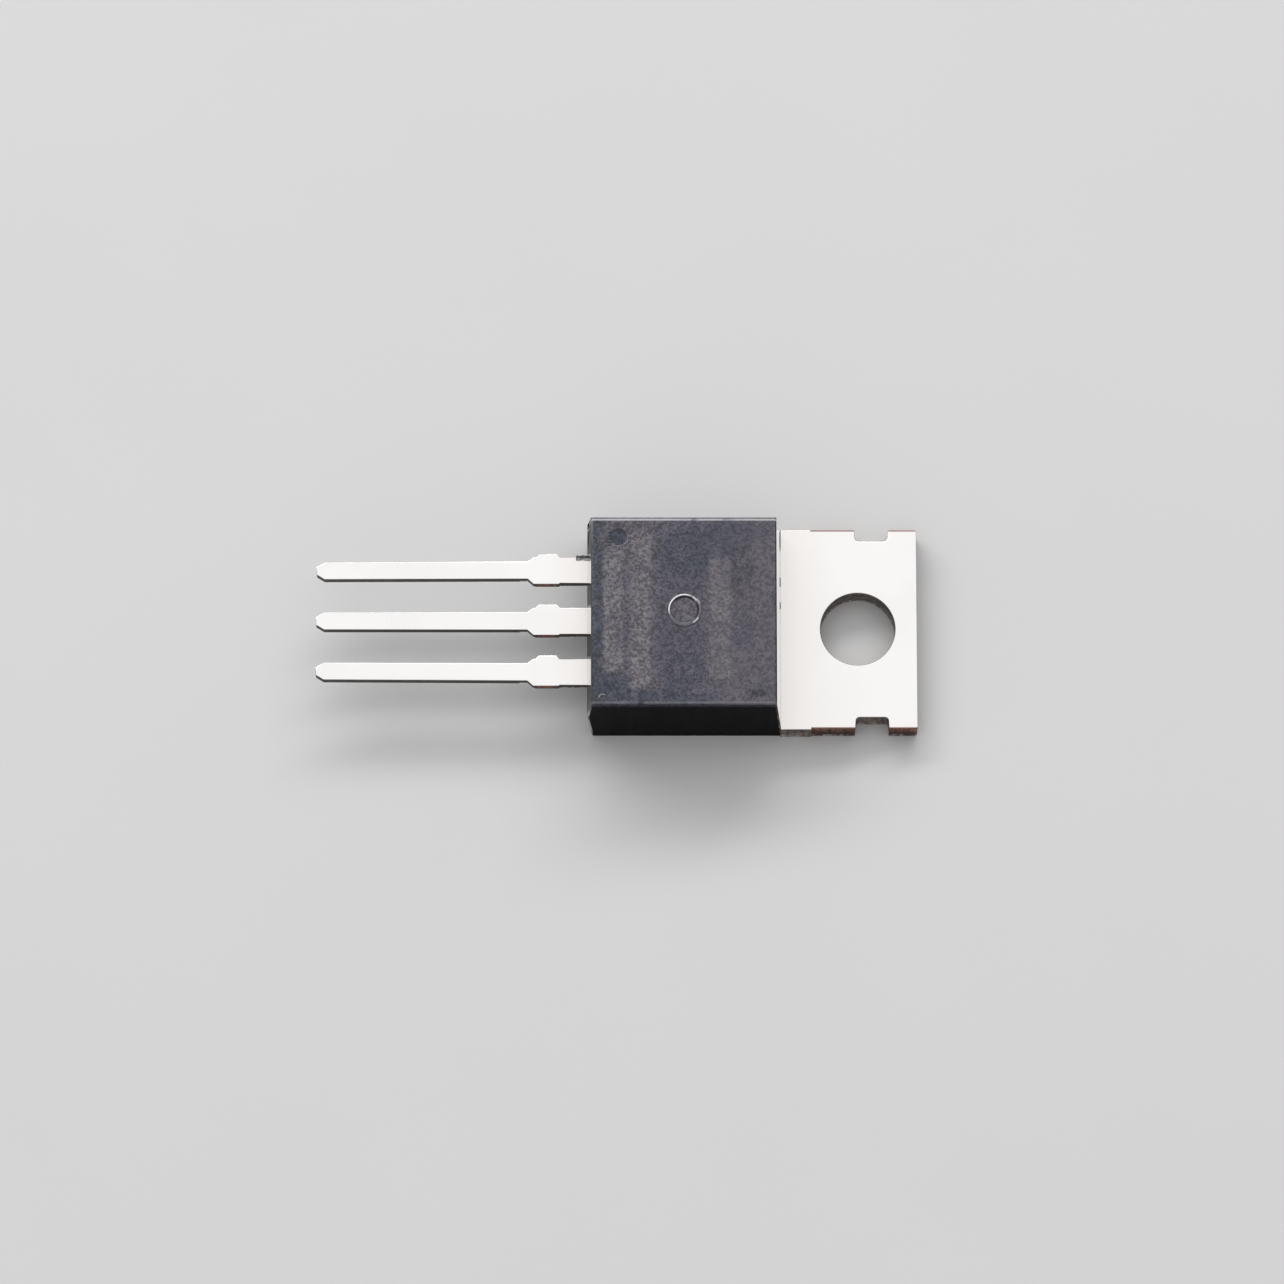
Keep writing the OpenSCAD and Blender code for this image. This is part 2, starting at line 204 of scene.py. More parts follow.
class TransistorColours(bpy.types.PropertyGroup):
    compound_warm: colour("Compound, warm", "Brown-grey areas of the marked face", (0.098, 0.087, 0.108))
    compound_cool: colour("Compound, cool", "Blue-grey areas of the marked face", (0.036, 0.042, 0.066))
    compound_side: colour("Compound, sides", "Smooth drafted sides of the moulding", (0.007, 0.007, 0.008))
    compound_pale: colour("Compound, pale", "Paler bands of the marked face", (0.146, 0.135, 0.150))
    # Also the colour of the painted highlight along the edges of the marked face
    compound_wear_flash_and_highlight: colour("Compound, rubbed", "Rubbed edges and flash of the moulding", (0.46, 0.46, 0.48))
    # Painted highlights on the lip round the ejector mark, and the light scratch at the lead-side corner
    compound_highlight_and_scratch: colour("Compound, polished", "Polished lip of the ejector mark", (0.82, 0.81, 0.82))
    tin: colour("Tin", "Tin plate on the flat faces", (0.925, 0.912, 0.902))
    tin_dull: colour("Dull tin", "Plated walls made by the punch", (0.19, 0.16, 0.145))
    copper: colour("Copper", "Bare copper where the frame was sheared", (0.20, 0.085, 0.060))
    # Painted shade in the gap where the moulding meets the tab
    seam: colour("Seam", "Dark gap between the moulding and the tab", (0.05, 0.045, 0.045))
    silicon: colour("Silicon", "Polished die", (0.20, 0.22, 0.28))
    solder: colour("Solder", "Die solder", (0.55, 0.55, 0.57))
    aluminium: colour("Aluminium", "Bond wires", (0.80, 0.80, 0.82))
    floor: colour("Floor", "Studio floor", (0.74, 0.74, 0.74))


class StudioSettings(bpy.types.PropertyGroup):
    lens: bpy.props.FloatProperty(
        name="Lens", description="Focal length of the camera in millimetres", default=252.8, min=1.0
    )
    distance: length("Distance", "From the camera to the mounting face along the view", 434.78)
    tilt: bpy.props.FloatProperty(
        name="Tilt",
        description="Angle of the view from upright, towards the emitter side",
        default=math.radians(16.05),
        subtype="ANGLE",
    )
    aim_x: length("Aim along", "How far the view's centre lies from the hole towards the leads", 10.3725)
    aim_y: length("Aim across", "How far the view's centre lies from the hole across the part", 0.2615)
    ambient: factor("Ambient", "Brightness of the studio walls", 0.38, 4.0)
    key: factor("Key light", "Brightness of the large overhead soft light", 0.60, 20.0)
    rim: factor("Rim light", "Brightness of the long light behind the gate side", 5.5, 20.0)


# ---- mesh tools ----

def merged_copy(node):
    """A bmesh of a CAD node with its loose triangles merged into clean flat faces."""
    bm = bmesh.new()
    bm.from_mesh(NODES[node].data)
    bmesh.ops.remove_doubles(bm, verts=bm.verts, dist=0.0001 * MM)
    bmesh.ops.dissolve_limit(bm, angle_limit=math.radians(0.5), verts=bm.verts, edges=bm.edges)
    smooth_curves(bm)
    return bm


def all_solids():
    """A search tree of every CAD node, to tell outside edges from those buried in another piece."""
    bm = bmesh.new()
    for node in sorted(NODES):
        bm.from_mesh(NODES[node].data)
    tree = BVHTree.FromBMesh(bm)
    bm.free()
    return tree


def middle_of(edge):
    return (edge.verts[0].co + edge.verts[1].co) / 2


def is_open(edge, solids):
    """True where the space in front of an edge is free."""
    outward = sum((f.normal for f in edge.link_faces), Vector()).normalized()
    step = 0.002 * MM
    return solids.ray_cast(middle_of(edge) + outward * step, outward)[0] is None


def sharp_edges(bm, solids, chosen):
    """The outward edges outside all other pieces for which chosen(middle) is true."""
    found = []
    for edge in bm.edges:
        if len(edge.link_faces) != 2 or edge.calc_face_angle_signed() < SHARP_ANGLE:
            continue
        if chosen(middle_of(edge)) and is_open(edge, solids):
            found.append(edge)
    return found


def edge_layer(bm):
    """The layer that marks rounded faces for the finishes."""
    return bm.faces.layers.float.get(EDGE_LAYER) or bm.faces.layers.float.new(EDGE_LAYER)


def verts_of(made):
    return [g for g in made if isinstance(g, bmesh.types.BMVert)]


def round_edges(bm, edges, radius, segments):
    """Rounds edges and marks the new faces."""
    layer = edge_layer(bm)
    made = bmesh.ops.bevel(
        bm,
        geom=edges,
        offset=radius,
        offset_type="OFFSET",
        segments=segments,
        profile=0.5,
        affect="EDGES",
        material=-1,
        clamp_overlap=True,
    )
    for face in made["faces"]:
        face[layer] = 1.0
        face.smooth = True


def smooth_curves(bm):
    """Curved faces are shaded smooth and flat ones flat."""
    for face in bm.faces:
        turns = [e.calc_face_angle(0.0) for e in face.edges]
        face.smooth = any(CURVE_ANGLE < turn < ROUND_ANGLE for turn in turns)


def keep_corners(bm):
    """Corners that aren't rounded stay crisp."""
    for edge in bm.edges:
        edge.smooth = edge.calc_face_angle(0.0) < CRISP_ANGLE


def add_piece(name, bm, materials, replaced=()):
    """Makes a piece of a bmesh without corners that coincide, and puts it on the frame."""
    bmesh.ops.remove_doubles(bm, verts=bm.verts, dist=0.0002 * MM)
    mesh = bpy.data.meshes.new(name)
    bm.to_mesh(mesh)
    bm.free()
    for material in materials:
        mesh.materials.append(material)
    piece = bpy.data.objects.new(name, mesh)
    bpy.context.scene.collection.objects.link(piece)
    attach(piece, BODY)
    if replaced:
        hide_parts(*replaced)


# ---- node tools ----

def new_material(name):
    material = bpy.data.materials.new(name)
    material.use_nodes = True
    tree = material.node_tree
    tree.nodes.clear()
    shader = tree.nodes.new("ShaderNodeBsdfPrincipled")
    output = tree.nodes.new("ShaderNodeOutputMaterial")
    tree.links.new(shader.outputs["BSDF"], output.inputs["Surface"])
    return material, tree, shader


def put(tree, socket, value):
    """Links an output to a socket, or sets the socket to a plain value."""
    if isinstance(value, bpy.types.NodeSocket):
        tree.links.new(value, socket)
    elif hasattr(value, "__len__"):
        parts = tuple(value)
        wanted = len(socket.default_value)
        socket.default_value = parts + (1.0,) * (wanted - len(parts))
    else:
        socket.default_value = value


def calc(tree, operation, first, second=0.0, third=0.0):
    """One Math node."""
    node = tree.nodes.new("ShaderNodeMath")
    node.operation = operation
    for socket, value in zip(node.inputs, (first, second, third)):
        put(tree, socket, value)
    return node.outputs["Value"]


def ramp(tree, value, low, high, to_low=0.0, to_high=1.0):
    """A value carried from one range to another with a smooth step."""
    node = tree.nodes.new("ShaderNodeMapRange")
    node.interpolation_type = "SMOOTHSTEP"
    for name, setting in (
        ("Value", value), ("From Min", low), ("From Max", high), ("To Min", to_low), ("To Max", to_high)
    ):
        put(tree, node.inputs[name], setting)
    return node.outputs["Result"]


def fade(tree, value, start, end):
    """1 up to the start, and 0 from the end on."""
    return ramp(tree, value, start, end, 1.0, 0.0)


def graded(tree, mask, low, high):
    """A factor that goes from low to high with a mask."""
    return ramp(tree, mask, 0.0, 1.0, low, high)


def blend(tree, kind, mask, first, second):
    """Two colours or two values mixed by a mask."""
    node = tree.nodes.new("ShaderNodeMix")
    node.data_type = kind
    *inputs, result = MIX_SOCKETS[kind]
    for index, value in zip(inputs, (mask, first, second)):
        put(tree, node.inputs[index], value)
    return node.outputs[result]


def mix(tree, mask, first, second):
    return blend(tree, "RGBA", mask, first, second)


def mix_value(tree, mask, first, second):
    return blend(tree, "FLOAT", mask, first, second)


def shaded(colour, share):
    """A plain colour made lighter or darker."""
    return [share * channel for channel in colour]


def scaled(tree, base, amount):
    """A colour made lighter or darker by a value that changes over the surface."""
    node = tree.nodes.new("ShaderNodeVectorMath")
    node.operation = "SCALE"
    put(tree, node.inputs[0], base)
    put(tree, node.inputs["Scale"], amount)
    return node.outputs["Vector"]


def both(tree, first, second):
    return calc(tree, "MULTIPLY", first, second)


def either(tree, masks):
    """The strongest of several masks."""
    strongest = masks[0]
    for mask in masks[1:]:
        strongest = calc(tree, "MAXIMUM", strongest, mask)
    return strongest


def noise(tree, vector, scale, detail, roughness=0.5):
    node = tree.nodes.new("ShaderNodeTexNoise")
    put(tree, node.inputs["Vector"], vector)
    put(tree, node.inputs["Scale"], scale)
    put(tree, node.inputs["Detail"], detail)
    put(tree, node.inputs["Roughness"], roughness)
    return node.outputs["Fac"]


def object_point(tree):
    return tree.nodes.new("ShaderNodeTexCoord").outputs["Object"]


def stretched(tree, scale):
    """The part's coordinates scaled by a different amount along each axis, for streaks."""
    node = tree.nodes.new("ShaderNodeMapping")
    put(tree, node.inputs["Vector"], object_point(tree))
    put(tree, node.inputs["Scale"], scale)
    return node.outputs["Vector"]


def split(tree, vector):
    node = tree.nodes.new("ShaderNodeSeparateXYZ")
    put(tree, node.inputs["Vector"], vector)
    return node.outputs["X"], node.outputs["Y"], node.outputs["Z"]


def place(tree):
    """Where on the part a point lies: along it, across it and its height."""
    return split(tree, object_point(tree))


def surface_normal(tree):
    return split(tree, tree.nodes.new("ShaderNodeTexCoord").outputs["Normal"])


def absolute(tree, value):
    return calc(tree, "ABSOLUTE", value)


def root_of_squares(tree, first, second):
    """The distance that two offsets at right angles make."""
    return calc(tree, "SQRT", calc(tree, "ADD", both(tree, first, first), both(tree, second, second)))


def edge_mask(tree):
    node = tree.nodes.new("ShaderNodeAttribute")
    node.attribute_name = EDGE_LAYER
    return node.outputs["Fac"]


def bump(tree, height, distance, strength):
    node = tree.nodes.new("ShaderNodeBump")
    put(tree, node.inputs["Height"], height)
    put(tree, node.inputs["Distance"], distance)
    put(tree, node.inputs["Strength"], strength)
    return node.outputs["Normal"]


# ---- shared effects ----

def new_group(name, inputs, outputs):
    """An empty shader node group with named float inputs and outputs."""
    group = bpy.data.node_groups.new(name, "ShaderNodeTree")
    for label, default in inputs:
        socket = group.interface.new_socket(name=label, in_out="INPUT", socket_type="NodeSocketFloat")
        socket.default_value = default
    for label in outputs:
        group.interface.new_socket(name=label, in_out="OUTPUT", socket_type="NodeSocketFloat")
    return group, group.nodes.new("NodeGroupInput"), group.nodes.new("NodeGroupOutput")


def use_group(tree, name, **settings):
    """Places a shared effect in a material with its own values; what isn't given keeps its default."""
    node = tree.nodes.new("ShaderNodeGroup")
    node.node_tree = bpy.data.node_groups[name]
    for label, value in settings.items():
        put(tree, node.inputs[label.replace("_", " ").capitalize()], value)
    return node.outputs


def make_speckle_group():
    """Small grains, each with a tone of its own and a shallow bowl, as spark erosion leaves them."""
    group, given, result = new_group("Speckle", [("Scale", 8000.0), ("Contrast", 0.5)], ["Mask", "Height"])
    point = object_point(group)
    grains = group.nodes.new("ShaderNodeTexVoronoi")
    put(group, grains.inputs["Vector"], point)
    put(group, grains.inputs["Scale"], given.outputs["Scale"])
    tone = group.nodes.new("ShaderNodeSeparateColor")
    put(group, tone.inputs["Color"], grains.outputs["Color"])
    own = both(group, tone.outputs["Red"], 0.4)
    soft = both(group, noise(group, point, given.outputs["Scale"], 2.0, 0.6), 0.6)
    half_contrast = both(group, given.outputs["Contrast"], 0.5)
    low = calc(group, "SUBTRACT", 0.5, half_contrast)
    high = calc(group, "ADD", 0.5, half_contrast)
    put(group, result.inputs["Mask"], ramp(group, calc(group, "ADD", own, soft), low, high))
    put(group, result.inputs["Height"], grains.outputs["Distance"])


def make_cloud_group():
    """Soft uneven areas, such as mottled colour and haze."""
    group, given, result = new_group("Cloud", [("Scale", 500.0), ("Low", 0.4), ("High", 0.6)], ["Mask"])
    soft = noise(group, object_point(group), given.outputs["Scale"], 4.0, 0.55)
    put(group, result.inputs["Mask"], ramp(group, soft, given.outputs["Low"], given.outputs["High"]))


def make_box_group():
    """1 inside a box of the part's own coordinates, fading over Blur outside it."""
    inputs = [("Blur", 0.02 * MM)]
    for axis in "XYZ":
        inputs += [(axis + " low", -BEYOND), (axis + " high", BEYOND)]
    group, given, result = new_group("Box", inputs, ["Mask"])
    blur = given.outputs["Blur"]
    mask = 1.0
    for axis, value in zip("XYZ", place(group)):
        low = given.outputs[axis + " low"]
        high = given.outputs[axis + " high"]
        rise = ramp(group, value, calc(group, "SUBTRACT", low, blur), low)
        fall = fade(group, value, high, calc(group, "ADD", high, blur))
        mask = both(group, mask, both(group, rise, fall))
    put(group, result.inputs["Mask"], mask)


def make_lines_group():
    """Fine lines in one direction: few changes along it and many across it."""
    group, given, result = new_group("Lines", [("X", 120.0), ("Y", 9000.0), ("Z", 9000.0)], ["Mask"])
    changes = group.nodes.new("ShaderNodeCombineXYZ")
    for axis in "XYZ":
        put(group, changes.inputs[axis], given.outputs[axis])
    along = group.nodes.new("ShaderNodeVectorMath")
    along.operation = "MULTIPLY"
    put(group, along.inputs[0], object_point(group))
    put(group, along.inputs[1], changes.outputs["Vector"])
    streaks = noise(group, along.outputs["Vector"], 1.0, 3.0, 0.6)
    put(group, result.inputs["Mask"], ramp(group, streaks, 0.3, 0.7))


def make_shared_effects():
    make_speckle_group()
    make_cloud_group()
    make_box_group()
    make_lines_group()


def cloud(tree, scale, low, high):
    return use_group(tree, "Cloud", scale=scale, low=low, high=high)["Mask"]


def speckle(tree, scale, contrast=0.6):
    return use_group(tree, "Speckle", scale=scale, contrast=contrast)


def fine_lines(tree, x, y, z):
    """Lines with the given number of changes per metre along each axis."""
    return use_group(tree, "Lines", x=x, y=y, z=z)["Mask"]


def inside(tree, **sides):
    """Mask of a box; a side that isn't given is open."""
    return use_group(tree, "Box", **sides)["Mask"]


# ---- finishes ----

def spot(tree, x, y, radius_x, radius_y, inner, outer):
    """A soft oval area of the marked face, fading between two shares of its radii."""
    node = tree.nodes.new("ShaderNodeMapping")
    node.vector_type = "POINT"
    put(tree, node.inputs["Vector"], object_point(tree))
    put(tree, node.inputs["Scale"], (1 / radius_x, 1 / radius_y, 0.0))
    put(tree, node.inputs["Location"], (-x / radius_x, -y / radius_y, 0.0))
    distance = tree.nodes.new("ShaderNodeVectorMath")
    distance.operation = "LENGTH"
    put(tree, distance.inputs[0], node.outputs["Vector"])
    return fade(tree, distance.outputs["Value"], inner, outer)


def oval(tree, x, y, radius_x, radius_y, inner, outer):
    """The same for an area that a table gives in millimetres."""
    return spot(tree, x * MM, y * MM, radius_x * MM, radius_y * MM, inner, outer)


def arcs(tree, x, y, stretches):
    """Soft stretches of rings round (x, y), each as its table says."""
    along, across, _ = place(tree)
    dx = calc(tree, "SUBTRACT", along, x)
    dy = calc(tree, "SUBTRACT", across, y)
    distance = root_of_squares(tree, dx, dy)
    masks = []
    for radius, half_width, direction, reach, strength in stretches:
        off = absolute(tree, calc(tree, "SUBTRACT", distance, radius * MM))
        ring = ramp(tree, off, 0.3 * half_width * MM, half_width * MM, strength, 0.0)
        turn = math.radians(direction)
        towards = calc(tree, "ADD", both(tree, dx, math.cos(turn)), both(tree, dy, math.sin(turn)))
        towards = calc(tree, "DIVIDE", towards, distance)
        end = math.cos(math.radians(reach))
        full = math.cos(math.radians(0.65 * reach))
        masks.append(both(tree, ring, ramp(tree, towards, end, full)))
    return either(tree, masks)


def rubbed_and_highlit_line(tree):
    """Broken light line along the long edges of the marked face, and a faint one along its lead end: rubbing
    with a painted highlight, strongest on the gate side.
    """
    width = 0.05 * MM
    broken = ramp(tree, noise(tree, stretched(tree, (520.0, 60.0, 60.0)), 1.0, 3.0, 0.7), 0.38, 0.52)
    across = place(tree)[1]
    reach = absolute(tree, calc(tree, "ADD", across, LINE_SHIFT))
    rise = ramp(tree, reach, face_edge_y - width, face_edge_y)
    fall = fade(tree, reach, face_edge_y + width, face_edge_y + 0.09 * MM)
    # Painted highlight: the line is strongest on the gate side, where the rim light falls
    by_gate = ramp(tree, across, -1.0 * MM, 1.0 * MM, 0.22, 1.0)
    line = both(tree, both(tree, rise, fall), by_gate)
    line = both(tree, line, graded(tree, broken, 0.25, 1.0))
    end_x = face_end_x - 0.09 * MM
    end_line = inside(tree, x_low=end_x - 0.04 * MM, x_high=end_x, z_low=body_high.z - 0.3 * MM)
    end_line = both(tree, end_line, ramp(tree, across, 2.9 * MM, 4.6 * MM, 0.12, 0.5))
    return either(tree, [line, end_line])


def cool_share(tree, sizes, dimple_x):
    """How blue the marked face is: ragged soft areas, its lead end, a light mottle, and the dimple."""
    ragged = graded(tree, cloud(tree, 1500.0, 0.3, 0.6), 0.6, 1.0)
    areas = [both(tree, oval(tree, *area, 0.4, 1.1), share) for *area, share in COOL_AREAS]
    mottle = both(tree, cloud(tree, 800.0, 0.4, 0.7), 0.5)
    radius = sizes.dimple_radius
    dimple = spot(tree, dimple_x, sizes.dimple_offset, radius, radius, 0.85, 1.05)
    by_end = ramp(tree, place(tree)[0], body_low.x + 0.65 * MM, body_low.x + 1.0 * MM, 0.95, 0.0)
    return either(tree, [both(tree, either(tree, areas + [by_end]), ragged), mottle, dimple])


def pale_share(tree):
    """Paler bands across the marked face, fading at their ends and sides."""
    bands = []
    for band in PALE_BANDS:
        x_low, x_high, y_low, y_high = (side * MM for side in band)
        bands.append(inside(tree, x_low=x_low, x_high=x_high, y_low=y_low, y_high=y_high, blur=0.3 * MM))
    return both(tree, either(tree, bands), graded(tree, cloud(tree, 1200.0, 0.3, 0.65), 0.3, 0.9))


def shade_and_dark_marks(tree, sizes, ejector_x, dimple_x):
    """Painted shade at the ejector mark, teeth at the dimple, flecks towards the tab and stains at one edge.
    """
    teeth = calc(tree, "SINE", both(tree, place(tree)[1], 2 * math.pi / TOOTH_SPACING))
    teeth_x = dimple_x - 0.42 * MM
    teeth_y = sizes.dimple_offset - 0.12 * MM
    by_dimple = spot(tree, teeth_x, teeth_y, 0.16 * MM, 0.46 * MM, 0.7, 1.0)
    flecks = fine_lines(tree, 6500.0, 3000.0, 0.0)
    stains = cloud(tree, 1700.0, 0.48, 0.66)
    return either(tree, [
        arcs(tree, ejector_x, sizes.ejector_offset, LIP_SHADE),
        both(tree, by_dimple, ramp(tree, teeth, -0.2, 0.4, 0.0, 0.9)),
        both(tree, oval(tree, *FLECKED_CORNER), ramp(tree, flecks, 0.3, 0.6, 0.0, 0.75)),
        both(tree, oval(tree, *FLECKED_END), ramp(tree, flecks, 0.5, 0.75, 0.0, 0.5)),
        both(tree, oval(tree, *STAINED_EDGE), both(tree, stains, 0.5)),
    ])


def eroded_compound(sizes, colours):
    """Marked face of the moulding: matte, finely pitted, mottled blue-grey and brown-grey."""
    material, tree, shader = new_material("compound_eroded")
    dimple_x = body_low.x + sizes.dimple_from_end
    ejector_x = body_low.x + sizes.ejector_from_end
    radius = sizes.ejector_radius
    in_mark = spot(tree, ejector_x, sizes.ejector_offset, radius, radius, 0.9, 1.0)
    cool = both(tree, cool_share(tree, sizes, dimple_x), graded(tree, in_mark, 1.0, 0.15))
    coarse = speckle(tree, 4200.0)["Mask"]
    fine = speckle(tree, 9500.0)
    grain = both(tree, graded(tree, coarse, 0.9, 1.1), graded(tree, fine["Mask"], 0.54, 1.46))
    calmer = ramp(tree, place(tree)[0], *CALM_STRETCH, 0.0, 0.35)
    base = mix(tree, cool, colours.compound_warm, colours.compound_cool)
    base = mix(tree, pale_share(tree), base, colours.compound_pale)
    base = scaled(tree, base, mix_value(tree, calmer, grain, 1.0))
    rim = edge_mask(tree)
    # Rubbing on the rims, with a painted highlight along the edges of the face
    wear_and_highlight = either(tree, [rubbed_and_highlit_line(tree), both(tree, rim, 0.25)])
    base = mix(tree, wear_and_highlight, base, colours.compound_wear_flash_and_highlight)
    # Painted highlights on the lip round the ejector mark, and the light scratch at the lead-side corner
    lip_highlight = arcs(tree, ejector_x, sizes.ejector_offset, LIP_HIGHLIGHTS)
    scratch = arcs(tree, *SCRATCH_PLACE, CORNER_SCRATCH)
    base = mix(tree, either(tree, [lip_highlight, scratch]), base, colours.compound_highlight_and_scratch)
    # Painted shade round the ejector mark, with the dimple's teeth, flecks and stains
    marks = shade_and_dark_marks(tree, sizes, ejector_x, dimple_x)
    base = mix(tree, marks, base, shaded(colours.compound_cool, 0.2))
    put(tree, shader.inputs["Base Color"], base)
    matte = graded(tree, fine["Mask"], 0.62, 0.5)
    put(tree, shader.inputs["Roughness"], calc(tree, "SUBTRACT", matte, both(tree, rim, 0.3)))
    put(tree, shader.inputs["Normal"], bump(tree, fine["Height"], 0.008 * MM, 0.5))
    return material


def beside_metal(tree, sizes):
    """Where the moulding's ends kept their gloss: over each lead, and at the tab."""
    x, y, z = place(tree)
    above = calc(tree, "SUBTRACT", z, gate_high.z)
    across = absolute(tree, calc(tree, "MULTIPLY_ADD", above, GLOSS_LEAN, y))
    from_outer = absolute(tree, calc(tree, "SUBTRACT", across, sizes.lead_pitch))
    from_lead = calc(tree, "MINIMUM", across, from_outer)
    half_neck = sizes.neck_width / 2
    over_lead = ramp(tree, above, -0.1 * MM, 0.0)
    by_lead = both(tree, fade(tree, from_lead, half_neck, half_neck + 0.2 * MM), over_lead)
    by_tab = ramp(tree, x, body_high.x - 1.0 * MM, body_high.x - 0.5 * MM)
    return either(tree, [by_lead, by_tab])


def rubbed_and_highlit_places(tree, rubbed):
    """Rubbed edges of the drafted faces, the line at the marked face with its painted highlight, and a
    painted highlight on the lead-side corner.
    """
    edges = both(tree, edge_mask(tree), graded(tree, rubbed, 0.1, 0.55))
    # Painted highlight along the lead-side corner on the emitter side
    corner = inside(tree, x_high=body_low.x + 0.26 * MM, y_high=-4.7 * MM)
    corner = both(tree, both(tree, corner, edge_mask(tree)), graded(tree, rubbed, 0.45, 1.0))
    return either(tree, [edges, rubbed_and_highlit_line(tree), corner])


def drafted_compound(name, colours, shade, specular, roughness):
    """Drafted faces of the moulding: smooth, near black with their own tone, rubbed on the edges, with
    painted highlights at the marked face and the lead-side corner.
    """
    material, tree, shader = new_material(name)
    rubbed = cloud(tree, 1800.0, 0.35, 0.65)
    drawn = fine_lines(tree, 3500.0, 3500.0, 250.0)
    dark = scaled(tree, colours.compound_side, graded(tree, drawn, 0.8, 1.3))
    dark = scaled(tree, dark, shade(tree))
    wear_and_highlight = rubbed_and_highlit_places(tree, rubbed)
    put(tree, shader.inputs["Base Color"], mix(tree, wear_and_highlight, dark, colours.compound_wear_flash_and_highlight))
    matte = calc(tree, "ADD", roughness, both(tree, both(tree, rubbed, drawn), 0.05))
    put(tree, shader.inputs["Roughness"], matte)
    put(tree, shader.inputs["Specular IOR Level"], specular)
    put(tree, shader.inputs["Normal"], bump(tree, drawn, 0.002 * MM, 0.1))
    return material, tree, shader, matte


def side_compound(colours):
    """Long sides of the moulding, with a paler band under the marked face."""
    def band(tree):
        return ramp(tree, place(tree)[2], body_high.z - 0.38 * MM, body_high.z - 0.26 * MM, 1.0, 6.0)

    return drafted_compound("compound_side", colours, band, specular=0.015, roughness=0.42)[0]


def end_compound(sizes, colours):
    """Ends of the moulding: paler at the emitter side as a painted reflection, darker at the gate side,
    glossy by the metal.
    """
    def shade(tree):
        y = place(tree)[1]
        # Painted reflection: the end is paler towards the emitter side
        emitter_reflection = ramp(tree, y, -4.8 * MM, -3.2 * MM, 2.5, 1.0)
        by_gate = ramp(tree, y, 2.9 * MM, 3.6 * MM, 1.0, 0.3)
        return both(tree, 3.5, both(tree, emitter_reflection, by_gate))

    finish = drafted_compound("compound_end", colours, shade, specular=0.4, roughness=0.45)
    material, tree, shader, matte = finish
    gloss = beside_metal(tree, sizes)
    put(tree, shader.inputs["Roughness"], mix_value(tree, gloss, matte, 0.08))
    put(tree, shader.inputs["Coat Weight"], gloss)
    put(tree, shader.inputs["Coat Roughness"], 0.1)
    return material


def flash_resin(colours):
    """Thin torn resin: mottled, darker in a band from 3.1 to 3.4 mm off the middle, and pale where it
    feathers out on the lead.
    """
    material, tree, shader = new_material("resin_torn")
    pale = colours.compound_wear_flash_and_highlight
    torn = speckle(tree, 6500.0, 0.45)["Mask"]
    across = place(tree)[1]
    dark_band = both(tree, ramp(tree, across, 3.10 * MM, 3.17 * MM), fade(tree, across, 3.3 * MM, 3.4 * MM))
    feather = mix(tree, torn, shaded(pale, 0.25), shaded(pale, 1.3))
    dark_tones = mix(tree, torn, shaded(pale, 0.04), shaded(pale, 0.3))
    put(tree, shader.inputs["Base Color"], mix(tree, dark_band, feather, dark_tones))
    put(tree, shader.inputs["Roughness"], graded(tree, torn, 0.35, 0.6))
    return material


def flat_tin(tree, colours, x, haze):
    """Bright plate, a little warmer and darker beside the moulding."""
    by_tab = fade(tree, x, body_high.x + 0.02 * MM, body_high.x + 3.22 * MM)
    by_leads = ramp(tree, x, body_low.x - 2.0 * MM, body_low.x - 0.2 * MM)
    warm = [channel * share for channel, share in zip(colours.tin, WARM_SHARES)]
    plate = mix(tree, both(tree, by_tab, by_leads), colours.tin, warm)
    return scaled(tree, plate, graded(tree, haze, 0.985, 1.0))


def punched_wall(tree, colours, x, z, grain, lines):
    """Dull plate with the upright lines of the punch, with painted shade that darkens it on the leads."""
    lead_wall_shade = ramp(tree, x, body_low.x - 0.1 * MM, body_low.x + 0.1 * MM, 0.35, 1.0)
    marks = both(tree, graded(tree, lines, 0.6, 1.45), graded(tree, grain, 0.6, 1.45))
    dull = scaled(tree, colours.tin_dull, mix_value(tree, lead_wall_shade, 1.0, marks))
    dull = scaled(tree, dull, ramp(tree, z, 0.1 * MM, 1.1 * MM, 1.35, 0.9))
    # Painted shade: the walls of the leads are darkened to about a third
    return scaled(tree, dull, lead_wall_shade)


def burr_highlight(tree, sizes, ny):
    """Torn lower rim on the emitter side, painted in bright tin as a highlight: whole at the tapers of the
    leads, broken elsewhere.
    """
    torn = noise(tree, stretched(tree, (4500.0, 4500.0, 4500.0)), 1.0, 2.0)
    shear_x = -sizes.shear_start
    under_lead = gate_low.z - 0.1 * MM
    taper_x = body_low.x - 3.24 * MM
    taper_end_x = body_low.x - 2.5 * MM
    neck_x = body_low.x - 1.36 * MM
    taper = inside(tree, x_low=taper_x, x_high=taper_end_x, z_low=under_lead, z_high=gate_low.z + 0.13 * MM)
    neck = inside(tree, x_low=neck_x, x_high=body_low.x, z_low=under_lead, z_high=gate_low.z + 0.12 * MM)
    plated = inside(tree, x_low=-4.0 * MM, x_high=shear_x, z_low=0.09 * MM, z_high=0.22 * MM)
    rim = inside(tree, x_low=shear_x, z_low=0.08 * MM, z_high=0.22 * MM)
    burr_highlight_mask = either(tree, [
        taper,
        both(tree, neck, ramp(tree, torn, 0.42, 0.6, 0.0, 0.65)),
        both(tree, plated, ramp(tree, torn, 0.44, 0.52, 0.0, 0.8)),
        both(tree, rim, ramp(tree, torn, 0.48, 0.56, 0.0, 0.9)),
    ])
    return both(tree, burr_highlight_mask, fade(tree, ny, -0.3, -0.1))


